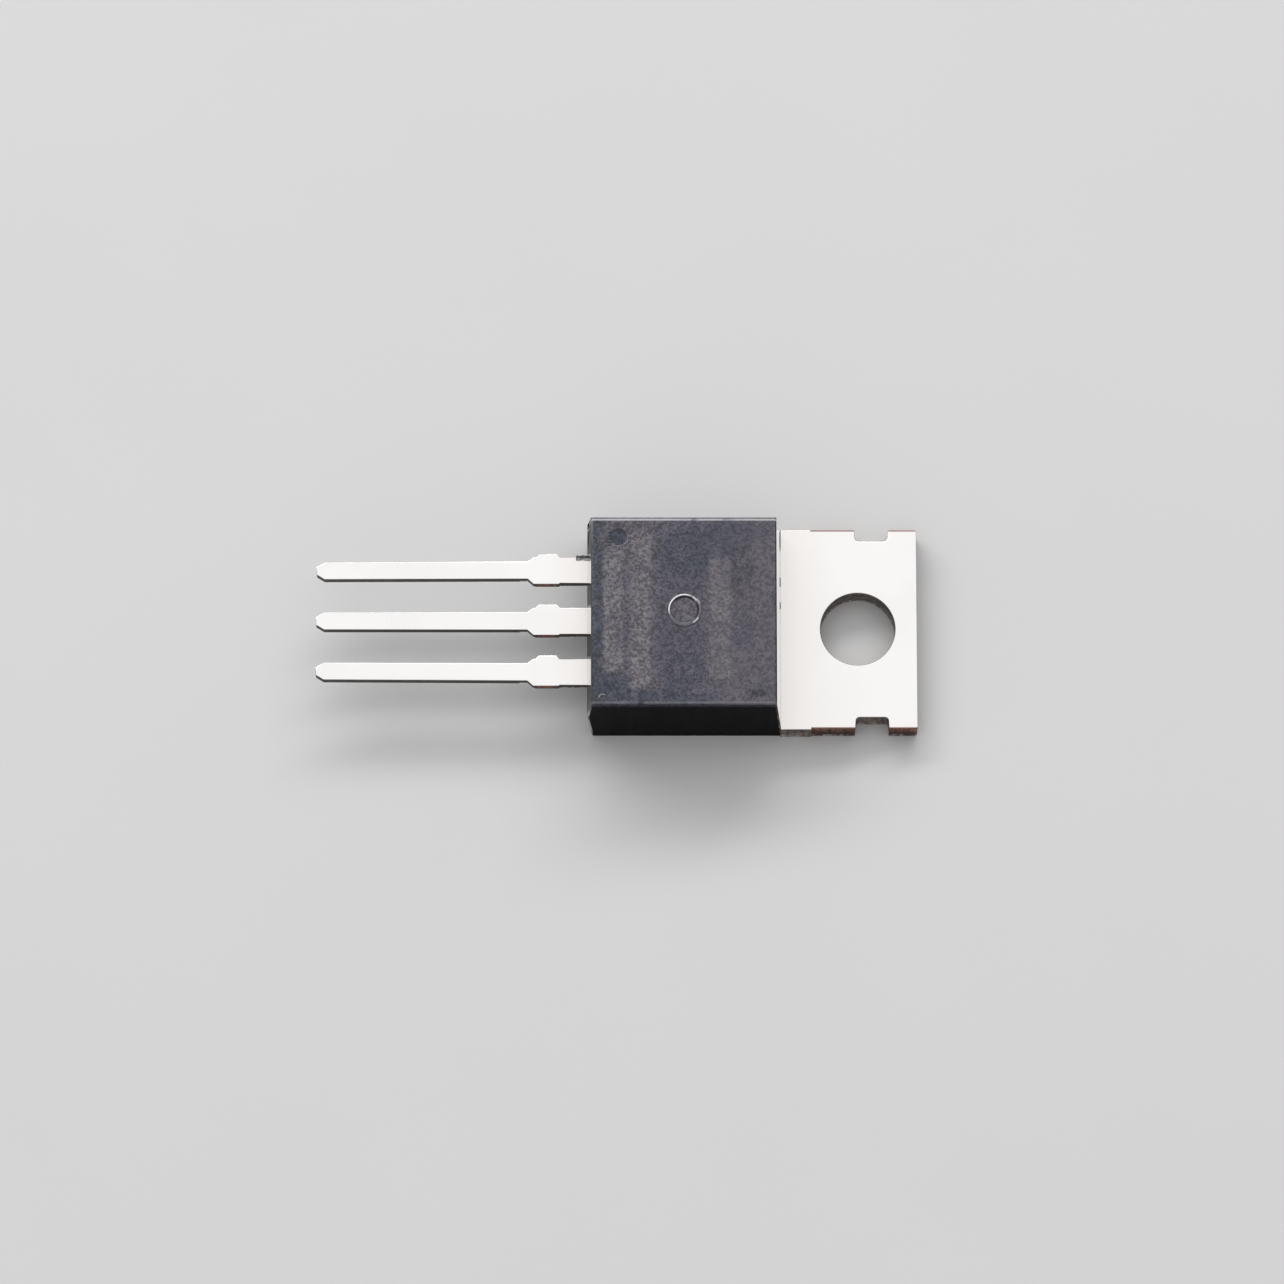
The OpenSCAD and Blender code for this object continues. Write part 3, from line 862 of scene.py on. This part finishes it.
def bare_copper(tree, colours, z, grain, lines):
    """Cut copper: burnished by the blade above, broken and darker below."""
    ragged = both(tree, noise(tree, stretched(tree, (1500.0, 0.0, 0.0)), 1.0, 3.0), 0.4 * MM)
    burnished = ramp(tree, calc(tree, "ADD", z, ragged), 0.90 * MM, 1.05 * MM)
    copper = scaled(tree, colours.copper, graded(tree, burnished, 0.45, 1.0))
    copper = scaled(tree, copper, graded(tree, grain, 0.5, 1.5))
    return scaled(tree, copper, graded(tree, lines, 0.65, 1.35))


def seam_shade_and_bleed(tree, y):
    """Painted shade in the gap where the moulding ends on the tab: open at the gate side, then faint, with
    two dark dashes of resin bleed.
    """
    foot = inside(
        tree,
        x_low=body_high.x + 0.004 * MM,
        x_high=body_high.x + 0.02 * MM,
        z_low=TAB_TOP - 0.1 * MM,
        z_high=TAB_TOP + 0.1 * MM,
    )
    shade_and_dashes = [ramp(tree, y, 3.75 * MM, 4.2 * MM, 0.15, 0.95)]
    for low, high in SEAM_DASHES:
        rise = ramp(tree, y, (low - 0.1) * MM, low * MM)
        shade_and_dashes.append(both(tree, rise, ramp(tree, y, high * MM, (high + 0.1) * MM, 0.85, 0.0)))
    return both(tree, foot, either(tree, shade_and_dashes))


def sheared_stretch(tree, sizes):
    """The stretch of the tab's sides that was cut after the plating."""
    return inside(tree, x_low=-sizes.shear_start, z_high=TAB_TOP + 0.1 * MM)


def lost_tin(tree, sizes, x, y):
    """Rims with no tin left: round the hole, and along the sheared sides as a second mask."""
    hole = fade(tree, root_of_squares(tree, x, y), HOLE_RADIUS + 0.01 * MM, HOLE_RADIUS + 0.035 * MM)
    edge = ramp(tree, absolute(tree, y), metal_high.y - 0.09 * MM, metal_high.y - 0.05 * MM)
    return hole, both(tree, edge, sheared_stretch(tree, sizes))


def cut_faces(tree, sizes, y, side, wall):
    """Where the frame was cut apart: the tab's sheared sides, the dam bars and the lead tips."""
    outer = ramp(tree, absolute(tree, y), metal_high.y - 0.165 * MM, metal_high.y - 0.115 * MM)
    sheared = both(tree, both(tree, sheared_stretch(tree, sizes), outer), side)
    dam_x = body_low.x - sizes.dam_bar_start
    dam = inside(tree, x_low=dam_x - sizes.dam_bar_length, x_high=dam_x, z_low=LEADS_ABOVE)
    tip = inside(tree, x_high=gate_low.x + 0.03 * MM, z_low=LEADS_ABOVE)
    return either(tree, [sheared, both(tree, dam, side), both(tree, tip, wall)])


def tinned_copper(sizes, colours):
    """Tin plate over copper, with bare copper where the frame was cut apart."""
    material, tree, shader = new_material("tinned_copper")
    _, ny, nz = surface_normal(tree)
    x, y, z = place(tree)
    wall = fade(tree, absolute(tree, nz), 0.45, 0.8)
    side = ramp(tree, absolute(tree, ny), 0.5, 0.7)
    rolled = fine_lines(tree, 120.0, 9000.0, 9000.0)
    punched = fine_lines(tree, 6000.0, 6000.0, 350.0)
    turned = fine_lines(tree, 300.0, 300.0, 5500.0)
    hole, shear_line = lost_tin(tree, sizes, x, y)
    upright = mix_value(tree, hole, punched, turned)
    haze = cloud(tree, 300.0, 0.3, 0.7)
    grain = speckle(tree, 7000.0)["Mask"]

    dull = punched_wall(tree, colours, x, z, grain, upright)
    bare = bare_copper(tree, colours, z, grain, upright)
    walls = mix(tree, cut_faces(tree, sizes, y, side, wall), dull, bare)
    # Painted highlight on the torn lower rim on the emitter side
    walls = mix(tree, burr_highlight(tree, sizes, ny), walls, shaded(colours.tin, 0.95))

    # Painted shade where the moulding meets the tab, with dashes of resin bleed
    plate = mix(tree, seam_shade_and_bleed(tree, y), flat_tin(tree, colours, x, haze), colours.seam)
    plate = mix(tree, both(tree, hole, 0.9), plate, shaded(colours.tin_dull, 0.4))
    plate = mix(tree, both(tree, shear_line, 0.9), plate, colours.copper)

    put(tree, shader.inputs["Base Color"], mix(tree, wall, plate, walls))
    put(tree, shader.inputs["Metallic"], 1.0)
    put(tree, shader.inputs["Roughness"], mix_value(tree, wall, graded(tree, haze, 0.27, 0.32), 0.5))
    relief = mix_value(tree, wall, rolled, both(tree, upright, grain))
    put(tree, shader.inputs["Normal"], bump(tree, relief, 0.002 * MM, 0.25))
    return material


def sealed_metal(name, base_colour, roughness, scale):
    """Die, solder and wires: plain metal with fine grain, sealed in the moulding."""
    material, tree, shader = new_material(name)
    grain = speckle(tree, scale)
    darker = shaded(base_colour, 0.8)
    put(tree, shader.inputs["Base Color"], mix(tree, grain["Mask"], darker, base_colour))
    put(tree, shader.inputs["Metallic"], 1.0)
    put(tree, shader.inputs["Roughness"], graded(tree, grain["Mask"], roughness, roughness + 0.1))
    put(tree, shader.inputs["Normal"], bump(tree, grain["Height"], 0.004 * MM, 0.3))
    return material


# ---- pieces ----

def settings():
    scene = bpy.context.scene
    return scene.transistor_sizes, scene.transistor_colours, scene.transistor_studio


def round_mark(bm, centre, radius, top):
    """The rim edges of a round mark in the marked face."""
    slack = 0.02 * MM

    def on_rim(point):
        return abs((point - centre).xy.length - radius) < slack and point.z > top - slack / 10

    return [edge for edge in bm.edges if all(on_rim(vert.co) for vert in edge.verts)]


def raise_lip(bm, centre, sizes):
    """Sinks a shallow ring round the ejector mark, so that its rim stands up as a lip."""
    top = body_high.z
    flat = [f for f in bm.faces if f.normal.z > 0.999 and all(v.co.z > top - 0.001 * MM for v in f.verts)]
    bmesh.ops.delete(bm, geom=flat, context="FACES_ONLY")
    loose = [e for e in bm.edges if not e.link_faces]
    bmesh.ops.delete(bm, geom=loose, context="EDGES")
    layer = edge_layer(bm)
    ring = round_mark(bm, centre, sizes.ejector_radius, top)
    reach = sizes.ejector_radius
    rings = ((sizes.lip_crest, 0.0), (sizes.lip_slope, -sizes.lip_drop), (sizes.dish_width, sizes.lip_drop))
    for width, rise in rings:
        made = bmesh.ops.extrude_edge_only(bm, edges=ring)["geom"]
        ring = [g for g in made if isinstance(g, bmesh.types.BMEdge) and g.is_boundary]
        corners = verts_of(made)
        grow = (reach + width) / reach
        bmesh.ops.scale(bm, vec=(grow, grow, 1.0), space=Matrix.Translation(-centre), verts=corners)
        bmesh.ops.translate(bm, vec=(0.0, 0.0, rise), verts=corners)
        for face in (g for g in made if isinstance(g, bmesh.types.BMFace)):
            face.normal_update()
            if face.normal.z < 0:
                face.normal_flip()
            face.smooth = True
            face[layer] = 1.0 if rise < 0 else 0.0
        reach += width
    rims = [e for e in bm.edges if e.is_boundary]
    bmesh.ops.triangle_fill(bm, use_beauty=True, use_dissolve=False, edges=rims, normal=(0.0, 0.0, 1.0))


def roughen_scar(bm, sizes):
    """Breaks up the flat floor of the gate scar, as snapped resin."""
    shallowest = body_low.x + 0.02 * MM
    deepest = body_low.x + 0.18 * MM
    largest = 1.3 * MM * MM

    def on_floor(face):
        middle = face.calc_center_median()
        faces_end = face.normal.x < -0.98 and shallowest < middle.x < deepest
        by_gate = abs(middle.y) > 3.0 * MM and middle.z > gate_high.z
        return faces_end and by_gate and face.calc_area() < largest

    for face in [f for f in bm.faces if on_floor(f)]:
        rim = set(face.verts)
        made = bmesh.ops.subdivide_edges(bm, edges=face.edges, cuts=9, use_grid_fill=True)
        for vert in set(verts_of(made["geom_inner"])) - rim:
            if all(abs(f.normal.x) > 0.9 for f in vert.link_faces):
                vert.co.x += sizes.scar_roughness * wobble(vert.co * SCAR_GRAIN)


def near_end(point):
    return min(point.x - body_low.x, body_high.x - point.x) < CORNER_REACH


def near_face(point):
    return point.z > body_high.z - RIM_REACH


def at_corner(point):
    """Whether a point lies at one of the moulding's four upright corners."""
    return abs(point.y) > face_edge_y - 0.01 * MM and near_end(point)


def join_rims(bm):
    """Lets the rounded rims of the marked face meet in single corners, so that these can be rounded too."""
    meeting = [v for v in bm.verts if near_face(v.co) and at_corner(v.co)]
    bmesh.ops.remove_doubles(bm, verts=meeting, dist=0.01 * MM)


def part_corners(bm):
    """Ends the soft shading of each rounded corner at its own edges, clear of the flat faces beside it."""
    layer = edge_layer(bm)
    for edge in bm.edges:
        if at_corner(middle_of(edge)) and len({face[layer] for face in edge.link_faces}) == 2:
            edge.smooth = False


def mould_finish(face):
    """The slot of a face of the moulding; the rims at the ends are finished as the long sides are."""
    normal = face.normal
    middle = face.calc_center_median()
    on_side = abs(normal.y) > abs(normal.x)
    on_rim = near_face(middle) and normal.z > 0.3
    if abs(normal.z) > 0.9 or on_rim and on_side:
        return ERODED
    if on_side:
        return SIDE
    if on_rim:
        return SIDE if near_end(middle) else ERODED
    return END


def build_moulding():
    """The moulding with its rounded corners, parting edge and marks."""
    sizes, colours, _ = settings()
    solids = all_solids()
    bm = merged_copy("moulded_body")
    corner_low = body_low.z + 0.03 * MM
    corner_high = body_high.z - 0.09 * MM
    ejector = Vector((body_low.x + sizes.ejector_from_end, sizes.ejector_offset, 0.0))

    def on_corner(middle, gate_side, tab_end):
        upright = at_corner(middle) and corner_low < middle.z < corner_high
        return upright and (middle.x > ejector.x) == tab_end and (middle.y > 0) == gate_side

    def on_parting(middle):
        return abs(middle.z - gate_high.z) < 0.01 * MM or middle.z < 0.05 * MM

    def on_mark(middle):
        return near_face(middle) and not at_corner(middle)

    join_rims(bm)
    # The gate scar reaches the corner at its side of the lead end, so that corner stays crisp
    for gate_side, tab_end in ((False, False), (False, True), (True, True)):
        upright = sharp_edges(bm, solids, lambda middle: on_corner(middle, gate_side, tab_end))
        round_edges(bm, upright, sizes.corner_radius, 3)
    roughen_scar(bm, sizes)
    raise_lip(bm, ejector, sizes)
    round_edges(bm, sharp_edges(bm, solids, on_parting), sizes.parting_radius, 3)
    round_edges(bm, sharp_edges(bm, solids, on_mark), sizes.mark_radius, 2)
    for face in bm.faces:
        face.material_index = mould_finish(face)
        # The large faces are flat, so they are shaded flat
        face.smooth = face.smooth and face.calc_area() < MM * MM
    keep_corners(bm)
    part_corners(bm)
    finishes = [eroded_compound(sizes, colours), side_compound(colours), end_compound(sizes, colours)]
    add_piece("body_moulding", bm, finishes, ["moulded_body"])


def torn_patch(bm, centre, size, cells, jitter):
    """A thin uneven plate of resin."""
    first = len(bm.faces)
    placed = Matrix.Translation(centre) @ Matrix.Diagonal((size.x / 2, size.y / 2, 1.0, 1.0))
    bmesh.ops.create_grid(bm, x_segments=cells, y_segments=2, size=1.0, matrix=placed)
    bm.faces.ensure_lookup_table()
    plate = bm.faces[first:]
    for vert in {v for f in plate for v in f.verts}:
        vert.co.y += jitter * wobble(vert.co * FLASH_GRAIN)
    made = bmesh.ops.extrude_face_region(bm, geom=plate, use_keep_orig=True)["geom"]
    bmesh.ops.translate(bm, vec=(0.0, 0.0, size.z), verts=verts_of(made))


def crumb(bm, centre, size):
    """A broken-off grain of resin."""
    placed = Matrix.Translation(centre) @ Matrix.Diagonal((size.x / 2, size.y / 2, size.z / 2, 1.0))
    made = bmesh.ops.create_icosphere(bm, subdivisions=2, radius=1.0, matrix=placed)["verts"]
    for vert in made:
        seed = vert.co * CRUMB_GRAIN
        push = [wobble(seed + Vector((0.0, 0.0, 7.0 * axis))) for axis in range(3)]
        vert.co += 0.25 * size.y * Vector(push)


def build_flash():
    """Resin flash on the gate lead, and crumbs at the ends of the gate scar."""
    sizes, colours, _ = settings()
    parting = gate_high.z
    edge_y = sizes.lead_pitch + sizes.neck_width / 2
    bm = bmesh.new()
    plate = Vector((sizes.flash_length, sizes.flash_width, sizes.flash_thickness))
    middle = Vector((body_low.x - plate.x / 2 + 0.02 * MM, edge_y - 0.04 * MM, parting - 0.005 * MM))
    torn_patch(bm, middle, plate, cells=9, jitter=0.05 * MM)
    for x, y, z, size in CRUMBS:
        crumb(bm, Vector((body_low.x + x * MM, y * MM, parting + z * MM)), Vector(size) * MM)
    bmesh.ops.recalc_face_normals(bm, faces=bm.faces)
    for face in bm.faces:
        face.smooth = True
    keep_corners(bm)
    add_piece("resin_flash", bm, [flash_resin(colours)])


def build_lead_frame():
    """The tab with the middle lead, and the two outer leads, with rolled and rounded edges."""
    sizes, colours, _ = settings()
    solids = all_solids()
    metal = tinned_copper(sizes, colours)

    def on_tab_top(middle):
        return abs(middle.z - TAB_TOP) < 0.01 * MM and middle.xy.length > sizes.shear_start

    def anywhere(_middle):
        return True

    for node, name in (
        ("collector_frame", "collector_metal"),
        ("gate_lead", "gate_metal"),
        ("emitter_lead", "emitter_metal"),
    ):
        bm = merged_copy(node)
        round_edges(bm, sharp_edges(bm, solids, on_tab_top), sizes.rollover, 3)
        round_edges(bm, sharp_edges(bm, solids, anywhere), sizes.metal_radius, 2)
        keep_corners(bm)
        add_piece(name, bm, [metal], [node])


def finish_inner_pieces():
    """The sealed pieces keep their shapes and get their finishes."""
    _, colours, _ = settings()
    silicon = sealed_metal("die_silicon", colours.silicon, roughness=0.12, scale=3000.0)
    solder = sealed_metal("die_solder", colours.solder, roughness=0.4, scale=6000.0)
    wire = sealed_metal("wire_aluminium", colours.aluminium, roughness=0.3, scale=9000.0)
    for node, material in (
        ("igbt_die", silicon),
        ("die_solder", solder),
        ("emitter_wire_1", wire),
        ("emitter_wire_2", wire),
        ("gate_wire", wire),
    ):
        NODES[node].data.materials[0] = material


def add_soft_light(name, radiance, size_x, size_y, position):
    """A soft panel of a given brightness that faces the part, with its size and place in metres."""
    lamp = bpy.data.lights.new(name, "AREA")
    lamp.shape = "RECTANGLE"
    lamp.size = size_x
    lamp.size_y = size_y
    lamp.energy = radiance * math.pi * size_x * size_y
    light = bpy.data.objects.new(name, lamp)
    light.location = position
    target = Vector((body_low.x, 0.0, 0.0))
    light.rotation_euler = (Vector(position) - target).to_track_quat("Z", "Y").to_euler()
    light.visible_camera = False
    bpy.context.scene.collection.objects.link(light)


def add_camera(studio):
    """Camera that looks down on the marked face, tipped towards the emitter side."""
    lens = bpy.data.cameras.new("camera")
    lens.lens = studio.lens
    lens.clip_start = 0.01
    lens.clip_end = 20.0
    camera = bpy.data.objects.new("camera", lens)
    up = math.cos(studio.tilt)
    over = math.sin(studio.tilt)
    camera.location = (
        -studio.aim_x,
        -studio.aim_y * up - studio.distance * over,
        -studio.aim_y * over + studio.distance * up,
    )
    camera.rotation_euler = (studio.tilt, 0.0, 0.0)
    bpy.context.scene.collection.objects.link(camera)
    bpy.context.scene.camera = camera


def build_floor(colours):
    """A wide disc of pale matte paper."""
    material, tree, shader = new_material("floor_paper")
    grain = cloud(tree, 60.0, 0.2, 0.8)
    put(tree, shader.inputs["Base Color"], mix(tree, grain, shaded(colours.floor, 0.985), colours.floor))
    put(tree, shader.inputs["Roughness"], 0.9)
    put(tree, shader.inputs["Specular IOR Level"], 0.1)
    bm = bmesh.new()
    bmesh.ops.create_circle(bm, cap_ends=True, radius=4.0, segments=96)
    mesh = bpy.data.meshes.new("floor")
    bm.to_mesh(mesh)
    bm.free()
    mesh.materials.append(material)
    floor = bpy.data.objects.new("floor", mesh)
    bpy.context.scene.collection.objects.link(floor)


def build_stage():
    """Pale floor, soft light and the camera."""
    _, colours, studio = settings()
    scene = bpy.context.scene
    build_floor(colours)
    world = bpy.data.worlds.new("studio")
    world.use_nodes = True
    background = world.node_tree.nodes["Background"]
    background.inputs["Color"].default_value = (studio.ambient, studio.ambient, studio.ambient, 1.0)
    scene.world = world
    add_soft_light("key_light", studio.key, 1.2, 1.0, (-0.02, 0.26, 0.60))
    add_soft_light("rim_light", studio.rim, 1.2, 0.16, (-0.16, 0.54, 0.42))
    add_camera(studio)
    scene.view_settings.view_transform = "Standard"


# ---- add-on ----

class TRANSISTOR_OT_shared_effects(bpy.types.Operator):
    """Build the node groups that the finishes share"""

    bl_idname = "transistor.shared_effects"
    bl_label = "Shared effects"

    def execute(self, context):
        make_shared_effects()
        return {"FINISHED"}


class TRANSISTOR_OT_moulding(bpy.types.Operator):
    """Build the moulded body on its CAD solid"""

    bl_idname = "transistor.moulding"
    bl_label = "Moulded body"

    def execute(self, context):
        build_moulding()
        return {"FINISHED"}


class TRANSISTOR_OT_resin_flash(bpy.types.Operator):
    """Build the resin flash and crumbs at the lead end"""

    bl_idname = "transistor.resin_flash"
    bl_label = "Resin flash"

    def execute(self, context):
        build_flash()
        return {"FINISHED"}


class TRANSISTOR_OT_lead_frame(bpy.types.Operator):
    """Build the tab and the three leads on their CAD solids"""

    bl_idname = "transistor.lead_frame"
    bl_label = "Tab and leads"

    def execute(self, context):
        build_lead_frame()
        return {"FINISHED"}


class TRANSISTOR_OT_inner_pieces(bpy.types.Operator):
    """Finish the die, its solder and the bond wires"""

    bl_idname = "transistor.inner_pieces"
    bl_label = "Die and bond wires"

    def execute(self, context):
        finish_inner_pieces()
        return {"FINISHED"}


class TRANSISTOR_OT_stage(bpy.types.Operator):
    """Build the floor, the lights and the camera"""

    bl_idname = "transistor.stage"
    bl_label = "Studio"

    def execute(self, context):
        build_stage()
        return {"FINISHED"}


class TRANSISTOR_PT_builder(bpy.types.Panel):
    """Sizes, colours and building steps of the transistor"""

    bl_idname = "TRANSISTOR_PT_builder"
    bl_label = "Transistor"
    bl_space_type = "VIEW_3D"
    bl_region_type = "UI"
    bl_category = "Transistor"

    def draw(self, context):
        layout = self.layout
        for group in (
            context.scene.transistor_sizes, context.scene.transistor_colours, context.scene.transistor_studio
        ):
            box = layout.box()
            for name in group.__annotations__:
                box.prop(group, name)
        for step in STEPS:
            layout.operator(step.bl_idname)


STEPS = (
    TRANSISTOR_OT_shared_effects,
    TRANSISTOR_OT_moulding,
    TRANSISTOR_OT_resin_flash,
    TRANSISTOR_OT_lead_frame,
    TRANSISTOR_OT_inner_pieces,
    TRANSISTOR_OT_stage,
)
GROUPS = (TransistorSizes, TransistorColours, StudioSettings)
CLASSES = GROUPS + STEPS + (TRANSISTOR_PT_builder,)


def register():
    for cls in CLASSES:
        bpy.utils.register_class(cls)
    bpy.types.Scene.transistor_sizes = bpy.props.PointerProperty(type=TransistorSizes)
    bpy.types.Scene.transistor_colours = bpy.props.PointerProperty(type=TransistorColours)
    bpy.types.Scene.transistor_studio = bpy.props.PointerProperty(type=StudioSettings)


def unregister():
    del bpy.types.Scene.transistor_studio
    del bpy.types.Scene.transistor_colours
    del bpy.types.Scene.transistor_sizes
    for cls in reversed(CLASSES):
        bpy.utils.unregister_class(cls)


def main():
    register()
    bpy.ops.transistor.shared_effects()
    bpy.ops.transistor.moulding()
    bpy.ops.transistor.resin_flash()
    bpy.ops.transistor.lead_frame()
    bpy.ops.transistor.inner_pieces()
    bpy.ops.transistor.stage()


if __name__ == "__main__":
    main()
